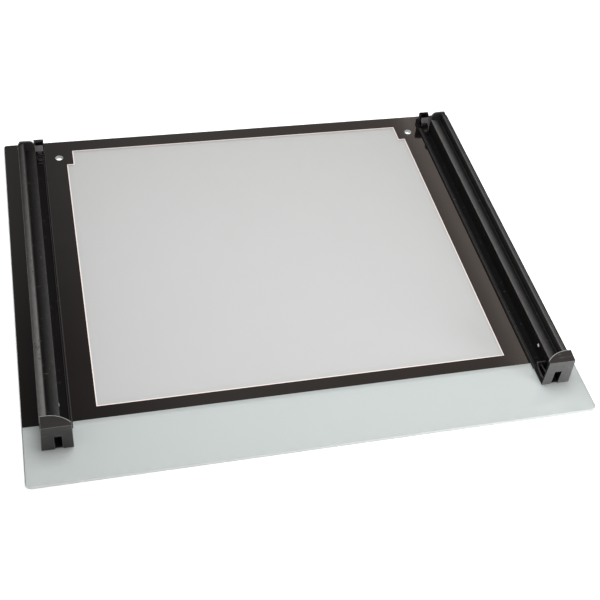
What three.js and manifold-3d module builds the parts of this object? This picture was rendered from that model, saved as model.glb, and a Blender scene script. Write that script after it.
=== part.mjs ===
// Outer glass panel of a built-in oven door with its two bonded side rails, lying outer face down.
// Frame: origin at the middle of the footprint on the glass's outer face, millimetres.
// +X runs across the door, +Y from the clear strip to the edge with the handle holes, +Z up.
// Every right-hand piece is built once and mirrored for the left.
import * as THREE from "three";
import { mergeVertices } from "three/addons/utils/BufferGeometryUtils.js";
import Module from "manifold-3d";

const wasm = await Module();
wasm.setup();

// Glass sheet and its fired-on black border
const GLASS_W = 595;
const GLASS_D = 516;
const GLASS_T = 4;
const FRONT_CORNER_R = 6;
const BACK_CORNER_R = 4;
const PRINT_T = 0.2;
const CLEAR_STRIP = 70.8;
const WINDOW_HALF_W = 222.7;
const WINDOW_FRONT = 86;
const WINDOW_BACK = 496.2;
const NOTCH_W = 8.3;
const NOTCH_D = 26;
const HOLE_X = 231.2;
const HOLE_FROM_FRONT = 483.8;
const HOLE_R = 4.2;
const PRINT_HOLE_R = 4.8;

// Adhesive under the rails, blocks and clips
const BOND_TOP = 0.7;

// Side rail: a channel open towards the glass, distances from the door's centre line
const RAIL_OUT = 279.4;
const RAIL_SHELF_IN = 259.2;
const RAIL_UPRIGHT = 272;
const RAIL_FOOT_IN = 247.6;
const RAIL_WALL = 1.8;
const RAIL_TOP = 30.4;
const RAIL_OUT_TOP = 26.4;
const RAIL_SHELF = 21.2;
const RAIL_SHELF_DIP = 2.3;
const RAIL_FLOOR = 2;
const RAIL_LIP_TOP = 3.4;
const RAIL_FRONT = 53.8;
const RAIL_FOOT_FRONT = 62.4;
const RAIL_BACK = 480;
const RAIL_FOOT_BACK = 485.8;
const SHELF_STEPS = 8;

// End block at the clear strip
const BLOCK_IN = 248.6;
const BLOCK_OUT = 280;
const BLOCK_DRAFT = 2;
const BLOCK_FRONT = 39.4;
const BLOCK_TOP = 36.3;
const BLOCK_TOP_RISE = 2;
const BLOCK_BACK = 53.5;
const BLOCK_SKIN = 2.2;
const BLOCK_ARC_R = 32.1;
const BLOCK_ARC_STEPS = 14;
const BOX_BACK = 62;
const BOX_BACK_H = 13.2;
const BOX_MIDDLE_H = 9.7;
const BOX_LOW_H = 8;
const BOX_FRONT_H = 10.2;
const BOX_OUT = 258.9;
const SLOT_IN = 259.2;
const SLOT_OUT = 266.8;
const SLOT_TOP = 20.4;
const SLOT_FLOOR_FRONT = 40.4;
const CHEEK = 1.7;

// Rail end cap, rivet, and the catch bracket at the handle edge
const CAP_T = 2;
const CAP_TOP = 32.2;
const CAP_TOP_OUT = 276.9;
const CAP_TOP_IN = 262.6;
const RIVET_Y = 84;
const RIVET_H = 13;
const CLIP_IN = 248.6;
const CLIP_OUT = 261.3;
const CLIP_FRONT = 486.3;
const CLIP_BACK = 504;
const CLIP_LOW_H = 5.6;
const CLIP_TOP_H = 20.8;
const CLIP_WALL = 1.6;
const CLIP_BAR = 1.3;
const POST_FRONT = 495.5;
const POST_BACK = 498;
const CLIP_SCREW_X = 254.8;
const CLIP_SCREW_Y = 478.5;
const TONGUE_BACK = 489.9;
const TONGUE_HALF_W = 4.7;

// One entry per finish: colour, roughness, metalness
const FINISHES = {
  glass: [0xb9c8c4, 0.08, 0],
  print: [0x0d0b0b, 0.2, 0],
  bond: [0x161616, 0.7, 0],
  rail: [0x1c1a1b, 0.45, 0],
  block: [0x2a2827, 0.5, 0],
  catch: [0x3a3636, 0.45, 0],
  steel: [0xb8b8ba, 0.3, 1],
};

const depthToY = (fromFront) => fromFront - GLASS_D / 2;
const heightToZ = (aboveGlass) => aboveGlass + GLASS_T;

/** A three.js geometry as a manifold solid. */
function solid(geometry) {
  const bare = geometry.clone();
  bare.deleteAttribute("normal");
  bare.deleteAttribute("uv");
  const merged = mergeVertices(bare, 1e-4);
  return new wasm.Manifold(
    new wasm.Mesh({
      numProp: 3,
      vertProperties: new Float32Array(merged.attributes.position.array),
      triVerts: new Uint32Array(merged.index.array),
    }),
  );
}

/** A manifold solid as an indexed three.js geometry, mirrored across X = 0 when asked. */
function geometryOf(made, mirrored) {
  const mesh = made.getMesh();
  const count = mesh.numVert;
  const positions = new Float32Array(count * 3);
  for (let i = 0; i < count; i++) {
    const at = i * mesh.numProp;
    positions[i * 3] = mesh.vertProperties[at] * (mirrored ? -1 : 1);
    positions[i * 3 + 1] = mesh.vertProperties[at + 1];
    positions[i * 3 + 2] = mesh.vertProperties[at + 2];
  }
  const index = Array.from(mesh.triVerts);
  for (let i = 0; mirrored && i < index.length; i += 3) {
    [index[i + 1], index[i + 2]] = [index[i + 2], index[i + 1]];
  }
  const geometry = new THREE.BufferGeometry();
  geometry.setAttribute("position", new THREE.BufferAttribute(positions, 3));
  geometry.setIndex(index);
  geometry.computeVertexNormals();
  return geometry;
}

/** Box between two corners: x, distance from the front edge, height above the glass. */
function box([x0, y0, h0], [x1, y1, h1]) {
  const geometry = new THREE.BoxGeometry(x1 - x0, y1 - y0, h1 - h0);
  geometry.translate(
    (x0 + x1) / 2,
    depthToY((y0 + y1) / 2),
    heightToZ((h0 + h1) / 2),
  );
  return solid(geometry);
}

/** Shape of [u, v] corners. */
function shapeOf(corners) {
  return new THREE.Shape(corners.map(([u, v]) => new THREE.Vector2(u, v)));
}

function extruded(shape, depth) {
  return new THREE.ExtrudeGeometry(shape, {
    depth,
    bevelEnabled: false,
    curveSegments: 10,
  });
}

/** Plan outline [x, from front] raised between two heights. */
function plate(corners, h0, h1) {
  const geometry = extruded(shapeOf(corners), h1 - h0);
  geometry.translate(0, -GLASS_D / 2, heightToZ(h0));
  return solid(geometry);
}

/** Cross-section [x, height] swept along the rail from y0 to y1. */
function alongRail(section, y0, y1) {
  const geometry = extruded(shapeOf(section), y1 - y0);
  geometry.rotateX(Math.PI / 2);
  geometry.translate(0, depthToY(y1), GLASS_T);
  return solid(geometry);
}

/** Side elevation [from front, height] swept across the door from x0 to x1. */
function acrossDoor(section, x0, x1) {
  const geometry = extruded(shapeOf(section), x1 - x0);
  geometry.rotateY(Math.PI / 2);
  geometry.rotateX(Math.PI / 2);
  geometry.translate(x0, -GLASS_D / 2, GLASS_T);
  return solid(geometry);
}

/** Round bar along "x" or "z", centred at [x, from front, height]. */
function bar(axis, radius, length, [x, y, h], segments = 24) {
  const geometry = new THREE.CylinderGeometry(radius, radius, length, segments);
  if (axis === "x") {
    geometry.rotateZ(Math.PI / 2);
  } else {
    geometry.rotateX(Math.PI / 2);
  }
  geometry.translate(x, depthToY(y), heightToZ(h));
  return solid(geometry);
}

/** Turned piece from a [radius, height] profile, standing at [x, from front]. */
function turned(profile, x, y, segments = 24) {
  const points = profile.map(([r, h]) => new THREE.Vector2(r, h));
  const geometry = new THREE.LatheGeometry(points, segments);
  geometry.rotateX(Math.PI / 2);
  geometry.translate(x, depthToY(y), GLASS_T);
  return solid(geometry);
}

const union = (pieces) => pieces.reduce((sum, piece) => sum.add(piece));

function glassPane() {
  const half = GLASS_W / 2;
  const outline = new THREE.Shape();
  outline.moveTo(-half + FRONT_CORNER_R, 0);
  outline.lineTo(half - FRONT_CORNER_R, 0);
  outline.absarc(half - FRONT_CORNER_R, FRONT_CORNER_R, FRONT_CORNER_R, -Math.PI / 2, 0);
  outline.lineTo(half, GLASS_D - BACK_CORNER_R);
  outline.absarc(half - BACK_CORNER_R, GLASS_D - BACK_CORNER_R, BACK_CORNER_R, 0, Math.PI / 2);
  outline.lineTo(-half + BACK_CORNER_R, GLASS_D);
  outline.absarc(
    -half + BACK_CORNER_R,
    GLASS_D - BACK_CORNER_R,
    BACK_CORNER_R,
    Math.PI / 2,
    Math.PI,
  );
  outline.lineTo(-half, FRONT_CORNER_R);
  outline.absarc(
    -half + FRONT_CORNER_R,
    FRONT_CORNER_R,
    FRONT_CORNER_R,
    Math.PI,
    Math.PI * 1.5,
  );
  const edge = 0.6;
  const geometry = new THREE.ExtrudeGeometry(outline, {
    depth: GLASS_T - 2 * edge,
    bevelEnabled: true,
    bevelSegments: 1,
    bevelSize: edge,
    bevelOffset: -edge,
    bevelThickness: edge,
    curveSegments: 8,
  });
  geometry.translate(0, -GLASS_D / 2, edge);
  return [-HOLE_X, HOLE_X].reduce(
    (pane, x) => pane.subtract(bar("z", HOLE_R, 20, [x, HOLE_FROM_FRONT, 0], 32)),
    solid(geometry),
  );
}

/** Black border: a frame around the window, stepped in at the two holes. */
function printedBorder() {
  const inset = 0.8;
  const half = GLASS_W / 2 - inset;
  const chamfer = BACK_CORNER_R * 0.6;
  const back = GLASS_D - inset;
  const outer = [
    [-half, CLEAR_STRIP],
    [half, CLEAR_STRIP],
    [half, back - chamfer],
    [half - chamfer, back],
    [-half + chamfer, back],
    [-half, back - chamfer],
  ];
  const step = WINDOW_HALF_W - NOTCH_W;
  const shoulder = WINDOW_BACK - NOTCH_D;
  const window = [
    [-WINDOW_HALF_W, WINDOW_FRONT],
    [WINDOW_HALF_W, WINDOW_FRONT],
    [WINDOW_HALF_W, shoulder],
    [step, shoulder],
    [step, WINDOW_BACK],
    [-step, WINDOW_BACK],
    [-step, shoulder],
    [-WINDOW_HALF_W, shoulder],
  ];
  const frame = plate(outer, 0, PRINT_T).subtract(plate(window, -1, 1));
  return [-HOLE_X, HOLE_X].reduce(
    (ink, x) => ink.subtract(bar("z", PRINT_HOLE_R, 6, [x, HOLE_FROM_FRONT, 0], 32)),
    frame,
  );
}

/** Shelf height at x: a shallow hollow between the rolled inner edge and the upright. */
function shelfHeight(x) {
  const t = (x - RAIL_SHELF_IN) / (RAIL_UPRIGHT - RAIL_SHELF_IN);
  return RAIL_SHELF - RAIL_SHELF_DIP * Math.sin((Math.PI / 2) * Math.min(1, 1.5 * t)) + 0.5 * t;
}

/** Main channel of the rail: outer wall, sloped crown, upright, shelf and inner wall. */
function channelSection() {
  const shelf = [];
  for (let i = SHELF_STEPS; i >= 0; i--) {
    const x = RAIL_SHELF_IN + 0.4 + ((RAIL_UPRIGHT - RAIL_SHELF_IN - 0.8) * i) / SHELF_STEPS;
    shelf.push([x, shelfHeight(x)]);
  }
  const under = SLOT_TOP - 2.9;
  return [
    [RAIL_OUT, BOND_TOP],
    [RAIL_OUT, RAIL_OUT_TOP - 0.6],
    [RAIL_OUT - 0.5, RAIL_OUT_TOP + 0.4],
    [RAIL_OUT - 1.4, RAIL_OUT_TOP + 1.1],
    [RAIL_UPRIGHT + 1.6, RAIL_TOP - 0.1],
    [RAIL_UPRIGHT + 0.9, RAIL_TOP],
    [RAIL_UPRIGHT + 0.2, RAIL_TOP - 0.3],
    [RAIL_UPRIGHT, RAIL_TOP - 0.9],
    [RAIL_UPRIGHT, shelfHeight(RAIL_UPRIGHT) + 0.8],
    ...shelf,
    [RAIL_SHELF_IN, RAIL_SHELF - 0.8],
    [RAIL_SHELF_IN, BOND_TOP],
    [RAIL_SHELF_IN + RAIL_WALL, BOND_TOP],
    [RAIL_SHELF_IN + RAIL_WALL, under + 0.6],
    [RAIL_SHELF_IN + RAIL_WALL + 1.8, under],
    [RAIL_UPRIGHT + 0.6, under],
    [RAIL_UPRIGHT + RAIL_WALL, under + 1.2],
    [RAIL_UPRIGHT + RAIL_WALL, RAIL_TOP - 2.6],
    [RAIL_OUT - RAIL_WALL, RAIL_OUT_TOP - 0.7],
    [RAIL_OUT - RAIL_WALL, BOND_TOP + 1.6],
    [RAIL_UPRIGHT + 0.5, BOND_TOP + 1.6],
    [RAIL_UPRIGHT + 0.5, BOND_TOP],
  ].reverse();
}

/** Inner foot of the rail: flat flange with a small raised lip. */
function footSection() {
  return [
    [RAIL_FOOT_IN, BOND_TOP],
    [RAIL_SHELF_IN + 0.5, BOND_TOP],
    [RAIL_SHELF_IN + 0.5, RAIL_FLOOR + 0.8],
    [RAIL_SHELF_IN - 0.8, RAIL_FLOOR],
    [RAIL_FOOT_IN + 3.6, RAIL_FLOOR],
    [RAIL_FOOT_IN + 3.4, RAIL_LIP_TOP - 0.4],
    [RAIL_FOOT_IN + 3, RAIL_LIP_TOP],
    [RAIL_FOOT_IN + 1, RAIL_LIP_TOP],
    [RAIL_FOOT_IN + 0.6, RAIL_LIP_TOP - 0.5],
    [RAIL_FOOT_IN, RAIL_FLOOR - 0.6],
  ];
}

function sideRail() {
  const rail = alongRail(channelSection(), RAIL_FRONT, RAIL_BACK).add(
    alongRail(footSection(), RAIL_FOOT_FRONT, RAIL_FOOT_BACK),
  );
  const rivetHole = bar("x", 1.45, 6, [RAIL_SHELF_IN + 1, RIVET_Y, RIVET_H], 20);
  const screwHole = bar("z", 1.4, 8, [CLIP_SCREW_X, CLIP_SCREW_Y, 2], 20);
  return rail.subtract(rivetHole).subtract(screwHole);
}

function innerBond() {
  return box([RAIL_FOOT_IN + 0.8, RAIL_FOOT_FRONT + 0.6, PRINT_T + 0.02], [
    RAIL_SHELF_IN + RAIL_WALL - 0.4,
    CLIP_BACK - 0.6,
    BOND_TOP,
  ]).subtract(box([240, 60, -1], [270, CLEAR_STRIP + 0.4, 3]));
}

function outerBond() {
  return box(
    [RAIL_UPRIGHT + 1, CLEAR_STRIP + 0.4, PRINT_T + 0.02],
    [RAIL_OUT - 0.5, RAIL_BACK - 0.5, BOND_TOP],
  );
}

function blockBond() {
  const foot = box([BLOCK_IN + 0.4, BLOCK_FRONT + 0.6, 0], [BLOCK_OUT - 0.4, BLOCK_BACK, BOND_TOP]);
  const tail = box([BLOCK_IN + 0.4, BLOCK_BACK - 1, 0], [BOX_OUT, BOX_BACK, BOND_TOP]);
  const slot = box([SLOT_IN, BLOCK_FRONT - 2, -1], [SLOT_OUT, BLOCK_BACK + 1, 3]);
  const ring = box([BLOCK_OUT - 7, BLOCK_FRONT + 4, -1], [BLOCK_OUT - 3, BLOCK_BACK + 1, 3]);
  const joined = foot.add(tail).subtract(slot).subtract(ring);
  return joined.decompose().sort((a, b) => b.volume() - a.volume());
}

/** Height of the block's top face, which rises towards the rail. */
const blockTopAt = (y) =>
  BLOCK_TOP + (BLOCK_TOP_RISE * (y - BLOCK_FRONT)) / (BLOCK_BACK - BLOCK_FRONT);

/** Side elevation of a layer under the block's top face, swept across the whole block. */
function underTop(upper, lower) {
  const [y0, y1] = [BLOCK_FRONT - 1, BLOCK_BACK + 1];
  return acrossDoor(
    [
      [y0, blockTopAt(y0) - lower],
      [y1, blockTopAt(y1) - lower],
      [y1, blockTopAt(y1) - upper],
      [y0, blockTopAt(y0) - upper],
    ],
    BLOCK_IN - 1,
    BLOCK_OUT + 1,
  );
}

/** Top plate outline: straight outer edge, then an arc round to the inner front corner. */
function blockTopOutline(inset) {
  const front = BLOCK_FRONT;
  const centre = BLOCK_BACK - BLOCK_ARC_R;
  const outline = [
    [BLOCK_OUT - inset, front],
    [BLOCK_OUT - inset, BLOCK_BACK - inset],
    [RAIL_UPRIGHT, BLOCK_BACK - inset],
  ];
  const radius = BLOCK_ARC_R - inset;
  for (let i = 1; i <= BLOCK_ARC_STEPS; i++) {
    const x = RAIL_UPRIGHT - ((RAIL_UPRIGHT - BLOCK_IN - inset) * i) / BLOCK_ARC_STEPS;
    const dx = RAIL_UPRIGHT - x;
    outline.push([x, Math.max(front + 0.2, centre + Math.sqrt(radius ** 2 - dx ** 2))]);
  }
  outline.push([BLOCK_IN + inset, front]);
  return outline;
}

function endBlock() {
  const base = BOND_TOP;
  const [low, high] = [BLOCK_TOP - 7, BLOCK_TOP + 5];
  const front = box([BLOCK_IN, BLOCK_FRONT, base], [BLOCK_OUT, BLOCK_FRONT + BLOCK_SKIN, high]);
  const top = plate(blockTopOutline(0), low, high).intersect(underTop(0, BLOCK_SKIN));
  const rim = plate(blockTopOutline(0), low, high)
    .subtract(plate(blockTopOutline(1.4), low - 1, high + 1))
    .intersect(underTop(1, 4.5));
  const outer = alongRail(
    [
      [BLOCK_OUT - BLOCK_SKIN, base],
      [BLOCK_OUT, base],
      [BLOCK_OUT, high],
      [BLOCK_OUT - BLOCK_DRAFT - BLOCK_SKIN, high],
    ],
    BLOCK_FRONT + 0.1,
    BLOCK_BACK,
  );
  const inner = acrossDoor(
    [
      [BLOCK_FRONT + 0.5, base],
      [BOX_BACK, base],
      [BOX_BACK, BOX_BACK_H],
      [56, BOX_MIDDLE_H],
      [48, BOX_LOW_H],
      [BLOCK_FRONT + 0.5, BOX_FRONT_H],
    ],
    BLOCK_IN,
    BLOCK_IN + 1.5,
  );
  const rib = acrossDoor(
    [
      [BLOCK_FRONT + 0.5, base],
      [BOX_BACK - 0.5, base],
      [BOX_BACK - 0.5, 9.2],
      [BLOCK_FRONT + 0.5, 12.6],
    ],
    253.8,
    255,
  );
  const backWall = box([BLOCK_IN, BOX_BACK - 1.5, base], [BOX_OUT, BOX_BACK, BOX_BACK_H]);
  const floor = box([BLOCK_IN, BLOCK_FRONT + 1, base], [BOX_OUT, BOX_BACK, base + 1.4]);
  const cheeks = [SLOT_IN - CHEEK, SLOT_OUT].map((x) =>
    box([x, BLOCK_FRONT + 1, base], [x + CHEEK, BLOCK_BACK, SLOT_TOP + 1.6]),
  );
  const roof = box(
    [SLOT_IN - CHEEK, BLOCK_FRONT + 1, SLOT_TOP],
    [SLOT_OUT + CHEEK, BLOCK_BACK, SLOT_TOP + 1.6],
  );
  const spigot = box([269.6, BLOCK_FRONT + 1, 4], [276, 70, 15.5]);
  const web = box([275, BLOCK_FRONT + 1, 4], [BLOCK_OUT - 1, BLOCK_BACK, 15.5]);
  const slot = box([SLOT_IN, BLOCK_FRONT - 4, -1], [SLOT_OUT, BLOCK_BACK + 1, SLOT_TOP]);
  const slotFloor = box(
    [SLOT_IN - 0.5, SLOT_FLOOR_FRONT, base],
    [SLOT_OUT + 0.5, BLOCK_BACK, base + 0.7],
  );
  const shell = union([front, outer]).subtract(underTop(-20, 0));
  const inside = union([top, rim, inner, rib, backWall, floor, ...cheeks, roof, spigot, web]);
  const drafted = alongRail(
    [
      [BLOCK_IN - 5, -1],
      [BLOCK_OUT, -1],
      [BLOCK_OUT, base],
      [BLOCK_OUT - BLOCK_DRAFT, BLOCK_TOP + BLOCK_TOP_RISE],
      [BLOCK_OUT - BLOCK_DRAFT, high + 5],
      [BLOCK_IN - 5, high + 5],
    ],
    BLOCK_FRONT - 1,
    80,
  );
  return shell.add(inside).subtract(slot).add(slotFloor).intersect(drafted);
}

/** Cap behind the rail: stands above the crown and closes the shelf's end. */
function railCap() {
  const wall = alongRail(
    [
      [RAIL_SHELF_IN + 0.2, RAIL_LIP_TOP],
      [RAIL_SHELF_IN + 0.8, RAIL_LIP_TOP],
      [RAIL_SHELF_IN + 0.8, BOND_TOP],
      [RAIL_OUT + 0.3, BOND_TOP],
      [RAIL_OUT + 0.3, RAIL_OUT_TOP],
      [CAP_TOP_OUT + 0.7, CAP_TOP - 1.2],
      [CAP_TOP_OUT - 0.4, CAP_TOP - 0.1],
      [RAIL_UPRIGHT, CAP_TOP],
      [CAP_TOP_IN + 1.5, CAP_TOP - 0.4],
      [CAP_TOP_IN - 0.8, CAP_TOP - 1.8],
      [RAIL_SHELF_IN + 0.8, CAP_TOP - 4.2],
      [RAIL_SHELF_IN + 0.2, CAP_TOP - 6.4],
    ],
    RAIL_BACK + 0.1,
    RAIL_BACK + 0.1 + CAP_T,
  );
  const plug = box([262.5, RAIL_BACK - 8, 4], [275.5, RAIL_BACK + 1, 15.5]);
  return wall.add(plug);
}

function rivet() {
  const head = bar("x", 2, 0.7, [RAIL_SHELF_IN - 0.4, RIVET_Y, RIVET_H], 20);
  const shank = bar("x", 1.25, 3.4, [RAIL_SHELF_IN + 1.5, RIVET_Y, RIVET_H], 20);
  return head.add(shank);
}

/** Catch bracket: foot on the rail floor, low open frame, and a tall post with a lip. */
function endClip() {
  const base = BOND_TOP + 0.1;
  const frame = box([CLIP_IN, CLIP_FRONT, base], [CLIP_OUT - 0.9, CLIP_BACK, CLIP_LOW_H]);
  const window = box(
    [CLIP_IN + CLIP_WALL, CLIP_FRONT + CLIP_BAR, -1],
    [CLIP_OUT - 0.9 - CLIP_WALL, POST_FRONT, CLIP_LOW_H + 1],
  );
  const post = acrossDoor(
    [
      [POST_FRONT, CLIP_LOW_H - 1],
      [POST_BACK, CLIP_LOW_H - 1],
      [POST_BACK, CLIP_TOP_H - 0.6],
      [POST_BACK - 0.6, CLIP_TOP_H],
      [POST_FRONT - 0.5, CLIP_TOP_H],
      [POST_FRONT - 0.9, CLIP_TOP_H - 0.5],
      [POST_FRONT - 0.9, CLIP_TOP_H - 2],
      [POST_FRONT, CLIP_TOP_H - 3.2],
    ],
    CLIP_IN,
    CLIP_OUT - 0.9,
  );
  const cheeks = [CLIP_IN, CLIP_OUT - 0.9 - CLIP_WALL].map((x) =>
    acrossDoor(
      [
        [POST_FRONT + 0.5, CLIP_LOW_H - 1],
        [POST_FRONT + 0.5, CLIP_TOP_H - 1],
        [POST_FRONT - 2.8, CLIP_TOP_H - 1],
        [POST_FRONT - 3.4, CLIP_LOW_H + 1.5],
        [POST_FRONT - 5, CLIP_LOW_H - 1],
      ],
      x,
      x + CLIP_WALL,
    ),
  );
  const foot = plate(
    [
      [251.6, 473],
      [252.6, 472],
      [257.4, 472],
      [258.1, 473],
      [258.1, CLIP_FRONT + 0.5],
      [251.6, CLIP_FRONT + 0.5],
    ],
    RAIL_FLOOR + 0.1,
    RAIL_FLOOR + 1.4,
  );
  const screwHole = bar("z", 1.8, 9, [CLIP_SCREW_X, CLIP_SCREW_Y, 3], 20);
  return union([frame.subtract(window), post, ...cheeks, foot]).subtract(screwHole);
}

/** Sprung catch tongue standing in the bracket's window, its head sloping back. */
function catchTongue() {
  const middle = (CLIP_IN + CLIP_OUT - 0.9) / 2;
  const stem = box(
    [middle - 2.6, TONGUE_BACK - 1.1, BOND_TOP + 0.4],
    [middle + 2.6, TONGUE_BACK, 13],
  );
  const head = acrossDoor(
    [
      [485.2, 12],
      [486, 11.2],
      [TONGUE_BACK, 11.2],
      [TONGUE_BACK, 17.2],
      [TONGUE_BACK - 0.5, 17.6],
      [TONGUE_BACK - 1.1, 17.2],
    ],
    middle - TONGUE_HALF_W,
    middle + TONGUE_HALF_W,
  );
  return stem.add(head);
}

function clipScrew() {
  const seat = RAIL_FLOOR + 1.45;
  const head = turned(
    [
      [0, BOND_TOP + 0.1],
      [1.2, BOND_TOP + 0.1],
      [1.2, seat],
      [3, seat],
      [3, seat + 0.8],
      [2.3, seat + 1.5],
      [1.2, seat + 1.7],
      [0, seat + 1.7],
    ],
    CLIP_SCREW_X,
    CLIP_SCREW_Y,
  );
  const recess = [
    [0.3, 1.6],
    [1.6, 0.3],
  ].map(([halfX, halfY]) =>
    box(
      [CLIP_SCREW_X - halfX, CLIP_SCREW_Y - halfY, seat + 0.7],
      [CLIP_SCREW_X + halfX, CLIP_SCREW_Y + halfY, seat + 3],
    ),
  );
  return head.subtract(union(recess));
}

const panel = new THREE.Group();
panel.name = "oven_door_outer_panel";

function place(name, made, finish, mirrored = false) {
  const [color, roughness, metalness] = FINISHES[finish];
  const material = new THREE.MeshStandardMaterial({ color, roughness, metalness });
  const mesh = new THREE.Mesh(geometryOf(made, mirrored), material);
  mesh.name = name;
  panel.add(mesh);
}

place("glass_pane", glassPane(), "glass");
place("printed_border", printedBorder(), "print");

const [blockBondInner, blockBondOuter] = blockBond();
const PAIRS = [
  ["side_rail", sideRail(), "rail"],
  ["rail_bond_inner", innerBond(), "bond"],
  ["rail_bond_outer", outerBond(), "bond"],
  ["end_block", endBlock(), "block"],
  ["block_bond_inner", blockBondInner, "bond"],
  ["block_bond_outer", blockBondOuter, "bond"],
  ["rail_cap", railCap(), "rail"],
  ["rail_rivet", rivet(), "steel"],
  ["catch_bracket", endClip(), "block"],
  ["catch_tongue", catchTongue(), "catch"],
  ["bracket_screw", clipScrew(), "steel"],
];
for (const [name, made, finish] of PAIRS) {
  place(`${name}_R`, made, finish);
  place(`${name}_L`, made, finish, true);
}

export default panel;
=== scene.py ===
"""Looks of an oven door's outer glass: the sheet, its enamel border, side rails, blocks and catches."""

import logging  # noqa: E402
import math  # noqa: E402
from dataclasses import dataclass, field  # noqa: E402
from enum import Enum  # noqa: E402
from typing import Any, Mapping, Sequence  # noqa: E402

import bmesh  # noqa: E402
import bpy  # noqa: E402
import numpy as np  # noqa: E402
from mathutils import Matrix, Vector  # noqa: E402
from mathutils.geometry import delaunay_2d_cdt  # noqa: E402

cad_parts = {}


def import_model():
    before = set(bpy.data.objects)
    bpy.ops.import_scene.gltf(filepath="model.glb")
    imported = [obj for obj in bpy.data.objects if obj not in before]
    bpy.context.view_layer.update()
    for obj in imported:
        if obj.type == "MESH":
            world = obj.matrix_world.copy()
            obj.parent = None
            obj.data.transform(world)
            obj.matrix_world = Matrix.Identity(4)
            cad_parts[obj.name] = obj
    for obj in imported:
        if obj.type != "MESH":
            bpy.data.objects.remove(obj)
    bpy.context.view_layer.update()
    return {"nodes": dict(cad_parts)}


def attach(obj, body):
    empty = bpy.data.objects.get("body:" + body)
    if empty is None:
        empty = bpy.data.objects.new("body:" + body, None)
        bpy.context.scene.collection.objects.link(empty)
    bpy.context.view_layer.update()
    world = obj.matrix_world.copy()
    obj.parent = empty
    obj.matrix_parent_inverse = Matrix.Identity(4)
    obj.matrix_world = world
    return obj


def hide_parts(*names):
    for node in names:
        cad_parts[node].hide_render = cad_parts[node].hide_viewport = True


LOG = logging.getLogger("door_glass")
MM = 0.001
WIDTH = 595.0
DEPTH = 516.0
HALF_DEPTH = DEPTH / 2
GLASS_T = 4.0
# Per-vertex share of the rubbed tone: rubbing on corners, and painted highlights and reflections on the
# rails' crown, ridge and shelf.
WEAR_AND_HIGHLIGHT = "wear_and_highlight"
# Share at the end rows of each sweep: rubbing with a painted highlight.
END_WEAR_AND_HIGHLIGHT = 0.4
SMOOTH_ANGLE = math.radians(35)
EASE_ANGLE = math.radians(28)
FLAT_ANGLE = math.radians(0.6)

Colour = tuple[float, float, float]
Point = tuple[float, float, float]
Material = bpy.types.Material


class Side(Enum):
    """Which half of the door a piece belongs to."""

    RIGHT = 1.0
    LEFT = -1.0

    @property
    def letter(self) -> str:
        """The suffix the CAD nodes use."""
        return "R" if self is Side.RIGHT else "L"


class Plane(Enum):
    """Plane of a flat outline: the two axes it is drawn on, then the one it is raised along."""

    PLAN = (0, 1, 2)
    ELEVATION = (1, 2, 0)


@dataclass(frozen=True)
class Window:
    """The opening in the border, in millimetres: half width, front and back from the front edge.

    Its two back corners step in by the notch: how much narrower, and over what length.
    """

    half: float = 222.7
    front: float = 86.0
    back: float = 496.2
    notch: tuple[float, float] = (8.3, 26.0)


WINDOW = Window()


# ---------------------------------------------------------------- shader nodes


@dataclass(frozen=True)
class Value:
    """One shader socket, with the arithmetic that adds Math nodes."""

    tree: "Tree"
    socket: Any

    def _math(self, operation: str, first: Any, second: Any) -> "Value":
        """A Math node on two values.

        Args:
            operation: Math node operation.
            first: value or number.
            second: value or number.

        Returns:
            The node's result.
        """
        return self.tree.node("ShaderNodeMath", {"operation": operation}, {0: first, 1: second})

    def __add__(self, other: Any) -> "Value":
        """Sum."""
        return self._math("ADD", self, other)

    def __radd__(self, other: Any) -> "Value":
        """Reflected sum."""
        return self._math("ADD", other, self)

    def __sub__(self, other: Any) -> "Value":
        """Difference."""
        return self._math("SUBTRACT", self, other)

    def __rsub__(self, other: Any) -> "Value":
        """Reflected difference."""
        return self._math("SUBTRACT", other, self)

    def __mul__(self, other: Any) -> "Value":
        """Product."""
        return self._math("MULTIPLY", self, other)

    def __rmul__(self, other: Any) -> "Value":
        """Reflected product."""
        return self._math("MULTIPLY", other, self)

    def __truediv__(self, other: Any) -> "Value":
        """Quotient."""
        return self._math("DIVIDE", self, other)

    def __pow__(self, other: Any) -> "Value":
        """Power."""
        return self._math("POWER", self, other)

    def size(self) -> "Value":
        """Absolute value."""
        return self.tree.node("ShaderNodeMath", {"operation": "ABSOLUTE"}, {0: self})

    def at_least(self, floor: float) -> "Value":
        """The larger of the value and a floor."""
        return self._math("MAXIMUM", self, floor)

    def over(self, limit: Any, soft: float) -> "Value":
        """A smooth step from 0 to 1 as the value passes a limit.

        Args:
            limit: middle of the step.
            soft: half its width.

        Returns:
            The step.
        """
        span = {"From Min": limit - soft, "From Max": limit + soft, "Value": self}
        return self.tree.node(
            "ShaderNodeMapRange", {"interpolation_type": "SMOOTHSTEP"}, span, out="Result"
        )


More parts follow.
